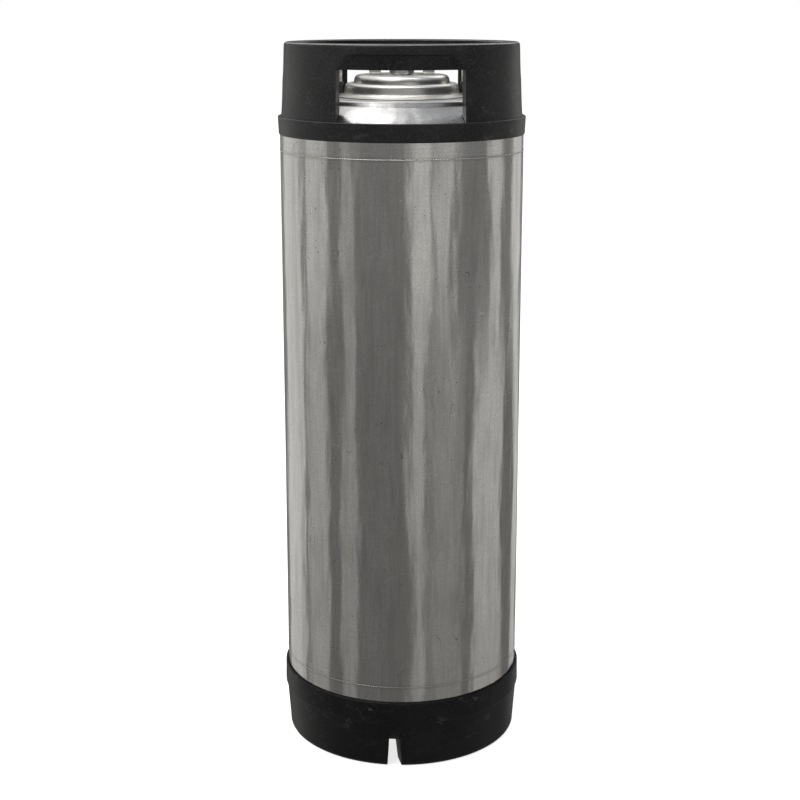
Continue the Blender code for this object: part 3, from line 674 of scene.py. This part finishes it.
def bottomHead():
    # a shallow bowl, then a quarter circle of radius knuckle up to the lower seam; the inside is one sheet in
    v = vessel
    sheet, edge = v["sheet"], v["lowerSeam"] - 0.0003
    bowl = np.array([(0.060, 0.0158), (0.035, 0.0138), (0.014, 0.0126), (0.0, 0.0123)])
    inner = bowl[::-1] + [0, sheet]
    profile = np.concatenate([inner, arcRun(0.080, v["knuckleZ"], v["knuckle"] - sheet, -90, 0, 14)])
    profile = np.concatenate([profile, [(0.1068, edge - sheet), (0.1053, edge - sheet),
        (0.1053, edge + 0.009)]])
    profile = np.concatenate([profile, [(0.1065, edge + 0.009), (0.1065, edge), (0.108, edge)]])
    profile = np.concatenate([profile, arcRun(0.080, v["knuckleZ"], v["knuckle"], 0, -90, 16), bowl])
    turned("bottomHead", profile, wallSteel, "keg", ["bottom_head"], columns=192, closed=False)


def weldBead(name, look, height, width, proud):
    # a low half-round bead, its edge rippled as (1 + 0.18 sin(420 azimuth))
    span = np.linspace(0, np.pi, 9)
    profile = np.stack([vessel["radius"] - 0.0004 + (proud + 0.0004) * np.sin(span),
        height + width / 2 * np.cos(span)], 1)

    def rippled(azimuth, r, z):
        return r + (r - vessel["radius"] + 0.0004) * 0.18 * np.sin(420 * azimuth + 900 * z)

    turned(name, profile, look, "keg", columns=1680, shape=rippled)


def lidCollar():
    # an oval lip turned up from the plateau, as (r, z, corner size) at its narrow side
    outer = [(0.0570, 0.5913, 0.0005), (0.0500, 0.5913, 0.0005), (0.0493, 0.5940, 0.0008),
        (0.0487, 0.5998, 0.0012)]
    outer += [(0.0472, 0.6014, 0.0010), (0.0431, 0.6014, 0.0006), (0.0431, 0.6030, 0.0007),
        (0.0478, 0.6030, 0.0016)]
    outer += [(0.0500, 0.6012, 0.0018), (0.0508, 0.5948, 0.0020), (0.0530, 0.5929, 0.0022),
        (0.0575, 0.5917, 0.0004)]
    ovalRing("lidCollar", softened(outer, 6, True), pressedSteel, "keg", ["lid_collar"], 192)


bodyWall()
topHead()
bottomHead()
weldBead("upperWeld", beadSteel, vessel["upperSeam"], 0.0012, 0.00022)
weldBead("lowerWeld", dullBead, vessel["lowerSeam"], 0.0011, 0.00012)
lidCollar()
print("vessel done")


chime = {
    "columns": 288, "windowColumns": 24, "rows": 11, "rim": 0.6385, "windowTop": 0.6172, "windowSill": 0.5742,
    "gripTop": 0.6295, "gripHalfTop": 0.0445, "gripHalfLow": 0.0534, "gripDepthTop": 0.0030,
    "gripDepthLow": 0.0066,
    "sideStart": 0.03618, "sideSlope": 0.1957, "inside": 0.093, "edge": 0.0009, "turn": -0.011,
    "wall": [(0.5742, 0.1069), (0.5795, 0.1062), (0.588, 0.1057), (0.597, 0.1053), (0.605, 0.1050),
    (0.614, 0.1043),
             (0.622, 0.1040), (0.633, 0.1036)],
}


def topChime():
    # a wall whose r follows the chime's levels, with a round rim above and a lip below; its inside follows
    # the arc of the shoulder, radius shoulder + 0.3 mm, and then stands straight
    c = chime
    levels, radii = np.array(c["wall"]).T

    def wallAt(z):
        return np.interp(z, levels, radii)

    n = c["rows"]
    gripZ = np.array([c["gripTop"] + 0.0004, c["gripTop"] - 0.0004, 0.6272, 0.6240, 0.6208, 0.6190])
    windowZ = np.linspace(c["windowTop"], c["windowSill"], n)
    rim = softened([(0.0920, c["rim"], 0), (0.1033, c["rim"], 0.0030), (wallAt(0.632), 0.6320, 0)], 9)
    grip = np.stack([wallAt(gripZ), gripZ], 1)
    outerWindow = np.stack([wallAt(windowZ), windowZ], 1)
    lip = softened([(0.1071, 0.5743, 0), (0.1097, 0.5746, 0.0009), (0.1090, 0.5592, 0.0012),
        (0.1083, 0.5587, 0)], 7)
    fit = vessel["shoulder"] + 0.0003
    sillTurn = math.degrees(math.asin((c["windowSill"] - vessel["shoulderZ"]) / fit))
    centre = vessel["radius"] - vessel["shoulder"]
    below = arcRun(centre, vessel["shoulderZ"], fit, 0, sillTurn - 4, 5)
    onShoulder = arcRun(centre, vessel["shoulderZ"], fit, sillTurn, vessel["coneAngle"], 2)
    onCone = np.linspace(onShoulder[-1], (c["inside"] + 0.0006, 0.5811), 4)[1:]
    straight = np.stack([np.full(n - 5, c["inside"]), np.linspace(0.5840, c["windowTop"], n - 5)], 1)
    innerWindow = np.concatenate([onShoulder, onCone, straight])
    top = softened([(c["inside"], 0.6245, 0), (0.0912, 0.6290, 0.002), (0.0908, c["rim"], 0.0012),
        (0.0920, c["rim"], 0)], 5)[:-1]
    profile = np.concatenate([rim, grip, outerWindow, lip, below, innerWindow, top])
    o0 = len(rim) + len(grip)
    i0 = o0 + n + len(lip) + len(below)
    rows, columns, half = len(profile), c["columns"], c["windowColumns"]

    # the side of a window is the line x = sideStart + sideSlope * depth; where it meets a circle of radius r
    # gives the azimuth of the window's edge there, and the columns are spread to meet it
    r = profile[:, 0]
    a, b = c["sideStart"], c["sideSlope"]
    depth = (-a * b + np.sqrt(a * a * b * b - (1 + b * b) * (a * a - r * r))) / (1 + b * b)
    edge = np.arctan2(a + b * depth, depth)[None]
    step = np.arange(columns)[:, None]
    quarter = columns // 4
    near = (step + quarter) % (2 * quarter) - quarter
    folded = np.abs(near)
    inWindow = edge * folded / half
    outside = edge + (np.pi / 2 - edge) * (folded - half) / (quarter - half)
    centre = np.round((step - near) / (2 * quarter)) * np.pi
    azimuth = centre + np.sign(near) * np.where(folded <= half, inWindow, outside)

    # the finger recess: the wall is set in by a depth that grows downwards, faded in over 5 mm at each side
    z = profile[None, :, 1]
    radius = profile[None, :, 0] + 0 * azimuth
    down = np.clip((c["gripTop"] - z) / (c["gripTop"] - c["windowTop"]), 0, 1)
    halfWidth = c["gripHalfTop"] + (c["gripHalfLow"] - c["gripHalfTop"]) * down
    across = np.abs(radius * np.sin(azimuth))
    inGrip = np.zeros(rows, bool)
    inGrip[len(rim) + 1:o0 + 1] = True
    share = np.clip((halfWidth - across) / 0.005, 0, 1)
    share = share * share * (3 - 2 * share) * inGrip[None] * (np.cos(azimuth) ** 2 > 0.5)
    radius = radius - share * (c["gripDepthTop"] + (c["gripDepthLow"] - c["gripDepthTop"]) * down)
    points = ring(azimuth + c["turn"], np.stack([radius, z + 0 * azimuth], -1))

    quads = gridFaces(columns, rows)
    hole = (((step % (2 * quarter)) < half) | ((step % (2 * quarter)) >= 2 * quarter - half))[:, 0]
    keep = np.ones((columns, rows), bool)
    keep[np.ix_(hole, np.arange(o0, o0 + n - 1))] = False
    keep[np.ix_(hole, np.arange(i0, i0 + n - 1))] = False

    def at(column, row):
        return (column % columns) * rows + row

    openColumns = np.nonzero(hole)[0]
    lintel = np.stack([at(openColumns + 1, o0), at(openColumns, o0), at(openColumns, i0 + n - 1),
        at(openColumns + 1, i0 + n - 1)], 1)
    sill = np.stack([at(openColumns, o0 + n - 1), at(openColumns + 1, o0 + n - 1), at(openColumns + 1, i0),
        at(openColumns, i0)], 1)
    k = np.arange(n - 1)
    jambs = []
    for middle in (0, 2 * quarter):
        left, right = middle - half, middle + half
        jambs.append(np.stack([at(left, o0 + k), at(left, o0 + k + 1), at(left, i0 + n - 2 - k),
            at(left, i0 + n - 1 - k)], 1))
        jambs.append(np.stack([at(right, o0 + k + 1), at(right, o0 + k), at(right, i0 + n - 1 - k),
            at(right, i0 + n - 2 - k)], 1))
    faces = np.concatenate([quads[keep], lintel, sill, *jambs])
    piece = meshPiece("topChime", points, faces, chimeRubber, "keg", ["top_chime"], 30)
    roundEdges(piece, c["edge"])


boot = {
    "notchColumns": 3, "plainColumns": 60, "top": 0.0625, "step": 0.0433, "notchTop": 0.0356, "rows": 13,
    "edge": 0.0008,
    "notchAt": -0.0077, "notchSkew": 0.15, "halfInner": 0.0024, "halfOuter": 0.0050, "flareInner": 0.0031,
    "flareOuter": 0.0016,
    "roofThick": 0.002, "roofStart": -22, "roofFoot": -43, "roofEnd": -48,
}


def baseBoot():
    # a ring whose inside follows the arc of the knuckle, radius knuckle + 0.3 mm; outside it has a band, a
    # step and a taper down to the ground
    c = boot
    n, fit = c["rows"], vessel["knuckle"] + 0.0003
    band = softened([(0.1083, c["top"], 0), (0.1104, c["top"], 0.0010), (0.1107, c["step"], 0.0003),
        (0.1096, 0.0424, 0.0004),
        (0.1091, 0.0370, 0)], 6)
    sideZ = np.linspace(c["notchTop"], 0.0056, n - 5)
    side = np.stack([np.interp(sideZ, [0.0056, 0.037], [0.1067, 0.1091]), sideZ], 1)
    toe = arcRun(0.1033, 0.0034, 0.0034, 10, -90, 5)
    outer = np.concatenate([side, toe])
    under = arcRun(0.080, vessel["knuckleZ"], fit, -73, c["roofEnd"], n - 6)
    inner = np.concatenate([[(0.0900, 0.0), (0.0886, 0.0012)], under])
    rest = arcRun(0.080, vessel["knuckleZ"], fit, c["roofEnd"] + 6, 0, 9)
    profile = np.concatenate([band, outer, inner, rest])
    rows, a0, b1 = len(profile), len(band), len(band) + len(outer) + len(inner) - 1
    half, plain = c["notchColumns"], c["plainColumns"]
    quarter = 2 * half + plain
    columns = 4 * quarter
    step = np.arange(columns)[:, None]

    def azimuthOf(step, r, z):
        # each notch's middle is the line x = notchAt + notchSkew * (r - 98 mm); its half width grows outwards
        # and down
        middle = np.arcsin((c["notchAt"] + c["notchSkew"] * (r - 0.098)) / r)
        width = np.interp(r, [0.090, 0.108], [c["halfInner"], c["halfOuter"]])
        flare = np.interp(r, [0.090, 0.108], [c["flareInner"], c["flareOuter"]])
        width = width + flare * np.clip(1 - z / c["notchTop"], 0, 1) ** 1.5
        edge = np.arcsin(width / r)
        inQuarter = step % quarter - half
        inNotch = middle + edge * inQuarter / half
        outside = middle + edge + (np.pi / 2 - 2 * edge) * (inQuarter - half) / plain
        return step // quarter * (np.pi / 2) + np.where(inQuarter <= half, inNotch, outside)

    def placed(step, part):
        r, z = part[None, :, 0], part[None, :, 1]
        return ring(azimuthOf(step, r, z),
            np.stack(np.broadcast_arrays(r, z + 0.0 * step), -1)).reshape(-1, 3)

    # a notch's roof follows the knuckle 2 mm below it, so that rubber covers the steel down to roofEnd
    roof = arcRun(0.080, vessel["knuckleZ"], fit + c["roofThick"], c["roofStart"], c["roofFoot"], 4)
    notchSteps = (np.arange(4)[:, None] * quarter + np.arange(2 * half + 1)).reshape(-1, 1)
    points = np.concatenate([placed(step, profile), placed(notchSteps, roof)])
    hole = (step % quarter - half < half)[:, 0]
    keep = np.ones((columns, rows), bool)
    keep[np.ix_(hole, np.arange(a0, b1))] = False
    column = np.arange(4)[:, None] * quarter + np.arange(2 * half + 1)
    place = np.arange(4)[:, None] * (2 * half + 1) + np.arange(2 * half + 1)
    roofAt = columns * rows + place[..., None] * 4 + np.arange(4)
    chain = np.concatenate([(column * rows + a0)[..., None], roofAt, (column * rows + b1)[..., None]], 2)
    ceiling = np.stack([chain[:, 1:, :-1], chain[:, :-1, :-1], chain[:, :-1, 1:], chain[:, 1:, 1:]],
        -1).reshape(-1, 4)
    sides = []
    for j, order in ((0, (0, 1, 2, 3)), (2 * half, (1, 0, 3, 2))):
        near = column[:, j, None] * rows + a0 + np.arange(n)
        far = np.concatenate([roofAt[:, j], column[:, j, None] * rows + b1 - np.arange(n - 4)], 1)
        quad = (near[:, :-1], near[:, 1:], far[:, 1:], far[:, :-1])
        sides.append(np.stack([quad[o] for o in order], -1).reshape(-1, 4))
    faces = np.concatenate([gridFaces(columns, rows)[keep], ceiling, *sides])
    piece = meshPiece("baseBoot", points, faces, bootRubber, "keg", ["base_boot"], 30)
    roundEdges(piece, c["edge"])


topChime()
baseBoot()
print("rubber mouldings done")


lidShape = {"top": 0.6097, "half": 0.0423, "flange": 0.0473, "sealWire": 0.00265}
bail = {
    "pivot": 0.6175, "wire": 0.0023, "legX": 0.014, "footX": 0.0548, "gripX": 0.020, "gripY": 0.040,
    "gripZ": 0.6225,
    "bendY": 0.028, "bendZ": 0.6195, "saddleX": 0.0236, "saddleWide": 0.0102, "footRadius": 0.0034,
    "footTip": 0.5934,
    "footTop": 0.6038, "boreEnd": 0.5985,
}


def lid():
    # a dished plate with a flange, as (r, z, corner size) at its narrow side; the seal is a circle carried
    # round it
    s = lidShape
    plate = [(0.0073, s["top"], 0.0003), (0.0300, s["top"], 0.001), (0.0312, s["top"] + 0.0004, 0.0012)]
    plate += [(0.0398, s["top"] + 0.0003, 0.0028), (0.0421, 0.6066, 0.0022), (s["half"], 0.5957, 0.0010)]
    plate += [(s["flange"], 0.5953, 0.0006), (s["flange"], 0.5930, 0.0006), (0.0406, 0.5930, 0.0008)]
    plate += [(0.0405, 0.6060, 0.0020), (0.0380, 0.6080, 0.0015), (0.0073, 0.6080, 0.0003)]
    ovalRing("lidPlate", softened(plate, 6, True), polishedSteel, "lid", ["lid_plate"], 192)
    ringAt = s["half"] + s["sealWire"] + 0.00035
    wire = np.radians(np.linspace(0, -360, 14, endpoint=False))
    section = np.stack([ringAt + s["sealWire"] * np.cos(wire), 0.5983 + s["sealWire"] * np.sin(wire)], 1)
    ovalRing("lidSeal", section, sealRubber, "lid", ["lid_seal"], 160)


def saddle(name, stands, x):
    # a rounded flat section carried along an arch with two feet, square to the arch's line
    b = bail
    base, thick = lidShape["top"] + 0.0004, 0.0014
    reach = b["wire"] + 0.0004 + thick / 2
    mid = base + thick / 2 - 0.0001
    line = softened([(-0.0085, mid, 0), (-reach, mid, 0.0012), (-reach, b["pivot"] + reach, 0.0030),
        (reach, b["pivot"] + reach, 0.0030), (reach, mid, 0.0012), (0.0085, mid, 0)], 9)
    along = np.gradient(line, axis=0)
    along /= np.linalg.norm(along, axis=1)[:, None]
    normal = np.stack([-along[:, 1], along[:, 0]], 1)
    w, h, e = b["saddleWide"] / 2, thick / 2, 0.0005
    section = softened([(w, h, e), (w, -h, e), (-w, -h, e), (-w, h, e)], 4, True)
    sx, sn = section[:, 0][None], section[:, 1][None]
    points = np.stack([x + sx + 0 * line[:, :1], line[:, :1] + normal[:, :1] * sn,
        line[:, 1:] + normal[:, 1:] * sn], -1)
    ends = points.mean(axis=1, keepdims=True)
    points = np.concatenate([points, ends * np.ones((1, points.shape[1], 1))], 0)
    order = np.concatenate([[len(line)], np.arange(len(line)), [2 * len(line) - 1]])
    points = points[order]
    faces = gridFaces(len(order), points.shape[1], True, False)
    meshPiece(name, points, faces[..., ::-1], polishedSteel, "lid", [stands], 45)


def bailWire():
    # a wire along a path mirrored in X, its corners rounded; each foot is a sleeve that ends in a quarter
    # circle
    b = bail
    half = [(b["gripX"], b["gripY"], b["gripZ"], 0.0075),
        (b["gripX"] - 0.0015, b["bendY"], b["bendZ"], 0.006)]
    half += [(b["legX"], 0.008, b["pivot"], 0.004), (b["legX"] + 0.001, 0.0, b["pivot"], 0.0035)]
    half += [(b["footX"], 0.0, b["pivot"], 0.0042), (b["footX"], 0.0, b["boreEnd"] + 0.0004, 0)]
    other = [(-x, y, z, size) for x, y, z, size in reversed(half)]
    path = softened(other + half, 9)
    tube("bailWire", path, b["wire"], polishedSteel, "bail", ["bail_handle"], 24)
    top, radius, bore = b["footTop"], b["footRadius"], b["wire"] + 0.0002
    lipPoints = softened([(bore, top, 0.0), (radius, top, 0.0005), (radius, top - 0.002, 0)], 5)
    cap = np.concatenate([lipPoints, arcRun(0, b["footTip"] + radius, radius, 0, -90, 10),
        [(0.0, b["boreEnd"]), (bore, b["boreEnd"])]])
    for label, side in (("Left", -1), ("Right", 1)):
        turned(f"bailFoot{label}", cap, blackVinyl, "bail", [f"bail_foot_{label.lower()}"],
            (side * b["footX"], 0), 40,
               sharpAngle=50)


lid()
saddle("saddleLeft", "bail_saddle_left", -bail["saddleX"])
saddle("saddleRight", "bail_saddle_right", bail["saddleX"])
bailWire()
print("lid and bail done")


def hexagon(apothem, high, low, corner=0.0):
    # a hexagon's radius at an azimuth is apothem / cos(angle from the nearest flat); cones, 1.6 out for every
    # 1 along, cut its corners at both ends
    def shape(azimuth, r, z):
        flat = (azimuth - corner) % (np.pi / 3) - np.pi / 6
        six = apothem / np.cos(flat)
        cone = apothem * 1.005 + np.minimum(high - z, z - low) * 1.6
        return np.where(r > apothem * 0.98, np.minimum(six, np.maximum(cone, apothem * 0.97)), r)
    return shape


relief = {"apothem": 0.0094, "eye": 0.6262, "ringRadius": 0.0105, "ringWire": 0.0009, "ringDrop": 24.0}


def reliefValve():
    # profiles (r, z, corner size) turned round the valve's axis; the knurl is r - 0.22 mm * |sin(20
    # azimuth)|, and the ring is a circle hung from the stem's eye, ringDrop degrees from level
    c = relief
    low, high = lidShape["top"] + 0.0004, 0.6160
    rows = np.concatenate([[high], high - np.array([0.0002, 0.0006, 0.0012, 0.0020]),
        np.linspace(0.6125, low + 0.002, 3),
        low + np.array([0.0012, 0.0006, 0.0002, 0.0])])
    flats = np.stack([np.full(len(rows), 0.0105), rows], 1)
    body = np.concatenate([[(0.0052, 0.6205), (0.0080, 0.6205), (0.0082, 0.6203), (0.0082, 0.6163),
        (0.0090, 0.6160)], flats,
        [(0.0052, low)]])
    turned("reliefBody", body, turnedSteel, "lid", ["relief_body"], columns=96,
           shape=hexagon(c["apothem"], high, low, math.pi / 6))

    def knurled(azimuth, r, z):
        return r - (r > 0.0078) * 0.00022 * np.abs(np.sin(20 * azimuth))

    cap = softened([(0.0021, 0.6232, 0.0002), (0.0082, 0.6232, 0.0007), (0.0082, 0.6208, 0.0004),
        (0.0047, 0.6208, 0),
        (0.0047, 0.6178, 0), (0.0021, 0.6178, 0)], 5, True)
    turned("reliefCap", cap, turnedSteel, "lid", ["relief_cap"], columns=240, shape=knurled)

    stem = softened([(0.0, 0.6290, 0), (0.0021, 0.6288, 0.0012), (0.0022, 0.6246, 0.0005),
        (0.0016, 0.6238, 0.0004),
        (0.0016, 0.6067, 0.0002), (0.0044, 0.6066, 0.0003), (0.0044, 0.6049, 0.0003), (0.0, 0.6049, 0)], 6)
    turned("reliefStem", stem, turnedSteel, "relief", ["relief_stem"], columns=48, closed=False)

    drop = math.radians(c["ringDrop"])
    turn = np.linspace(0, 2 * np.pi, 96, endpoint=False)[:, None]
    along = np.array([0, math.cos(drop), math.sin(drop)])
    centre = np.array([0, 0, c["eye"]]) - along * c["ringRadius"]
    path = centre + c["ringRadius"] * (np.array([1, 0, 0]) * np.sin(turn) + along * np.cos(turn))
    tube("pullRing", path, c["ringWire"], wireSteel, "ring", ["pull_ring"], 16, True)


post = {
    "apothem": 0.0110, "hexLow": 0.5940, "hexHigh": 0.6030, "groove": 0.5986, "grooveHigh": 0.0016,
    "grooveR": 0.0117,
}


def postAt(label, x):
    # profiles turned round the post's axis; a gas post's hexagon is cut to grooveR inside its groove
    c = post
    zs = c["hexHigh"] - np.array([0.0, 0.0002, 0.0006, 0.0012, 0.0020, 0.0032])
    if label == "gas":
        g, h = c["groove"], c["grooveHigh"] / 2
        zs = np.concatenate([zs, [g + h + 0.0001, g + h, g - h, g - h - 0.0001]])
    zs = np.concatenate([zs, c["hexLow"] + np.array([0.0020, 0.0012, 0.0006, 0.0002, 0.0])])
    flats = np.stack([np.full(len(zs), 0.0125), zs], 1)
    neck = softened([(0.0033, 0.6250, 0.0003), (0.0078, 0.6250, 0.0012), (0.0087, 0.6228, 0.0006),
        (0.0087, 0.6204, 0.0003),
        (0.0066, 0.6204, 0.0003), (0.0066, 0.6172, 0.0003), (0.0087, 0.6172, 0.0005),
        (0.0087, 0.6058, 0.0016),
        (0.0105, 0.6031, 0)], 5)
    inside = np.array([(0.0080, c["hexLow"]), (0.0080, 0.6012), (0.0067, 0.6016), (0.0067, 0.6122),
        (0.0050, 0.6140),
        (0.0050, 0.6200), (0.0032, 0.6222)])
    six = hexagon(c["apothem"], c["hexHigh"], c["hexLow"])

    def shape(azimuth, r, z):
        made = six(azimuth, r, z)
        if label == "gas":
            inGroove = (np.abs(z - c["groove"]) < c["grooveHigh"] / 2 + 0.00005) & (r > 0.0108)
            made = np.where(inGroove, np.minimum(made, c["grooveR"]), made)
        return made

    turned(f"{label}Post", np.concatenate([neck, flats, inside]), turnedSteel, "keg", [f"{label}_post"],
        (x, 0), 120,
           shape=shape)
    wire = np.radians(np.linspace(0, -360, 14, endpoint=False))
    seal = np.stack([0.00805 + 0.00115 * np.cos(wire), 0.6188 + 0.00115 * np.sin(wire)], 1)
    turned(f"{label}PostSeal", seal, sealRubber, "keg", [f"{label}_post_seal"], (x, 0), 64)
    spud = softened([(0.0051, 0.6005, 0.0002), (0.0076, 0.6005, 0.0003), (0.0076, 0.5933, 0.0002),
        (0.0101, 0.5931, 0.0006),
        (0.0106, 0.5913, 0.0003), (0.0076, 0.5912, 0), (0.0076, 0.5840, 0.0003),
        (0.0051, 0.5840, 0.0002)], 4, True)
    turned(f"{label}Port", spud, turnedSteel, "keg", [f"{label}_port"], (x, 0), 64)


coilSpring = {"ring": 0.0034, "wire": 0.0005, "turns": 5, "perTurn": 28}


def springAt(name, x, low, high, body, stands):
    # a helix about an upright axis, level over its first and last half turn
    c = coilSpring
    share = np.linspace(0, 1, c["turns"] * c["perTurn"] + 1)
    turn = 2 * np.pi * c["turns"] * share
    z = low + c["wire"] + (high - low - 2 * c["wire"]) * np.clip((share - 0.1) / 0.8, 0, 1)
    path = np.stack([x + c["ring"] * np.cos(turn), c["ring"] * np.sin(turn), z], 1)
    spring = tube(name, path, c["wire"], wireSteel, body, [stands], 10)
    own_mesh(spring)


reliefValve()
postAt("gas", -vessel["postAt"])
postAt("liquid", vessel["postAt"])
springAt("gasSpring", -vessel["postAt"], 0.6046, 0.6158, "keg", "gas_poppet_spring")
springAt("liquidSpring", vessel["postAt"], 0.6046, 0.6158, "keg", "liquid_poppet_spring")
springAt("reliefSpring", 0, 0.6070, 0.6174, "lid", "relief_spring")
paints = {"turned_stainless": turnedSteel, "spring_wire": wireSteel, "seal_rubber": sealRubber}
for name, cadNode in frame["nodes"].items():
    if cadNode.hide_render:
        continue
    slotName = next(s["material_slot"] for s in frame["record"]["subparts"] if s["node"] == name)
    cadNode.data.materials.clear()
    cadNode.data.materials.append(paints.get(slotName, pressedSteel))
print("valves done; kept as modelled:", sorted(n for n, o in frame["nodes"].items() if not o.hide_render))
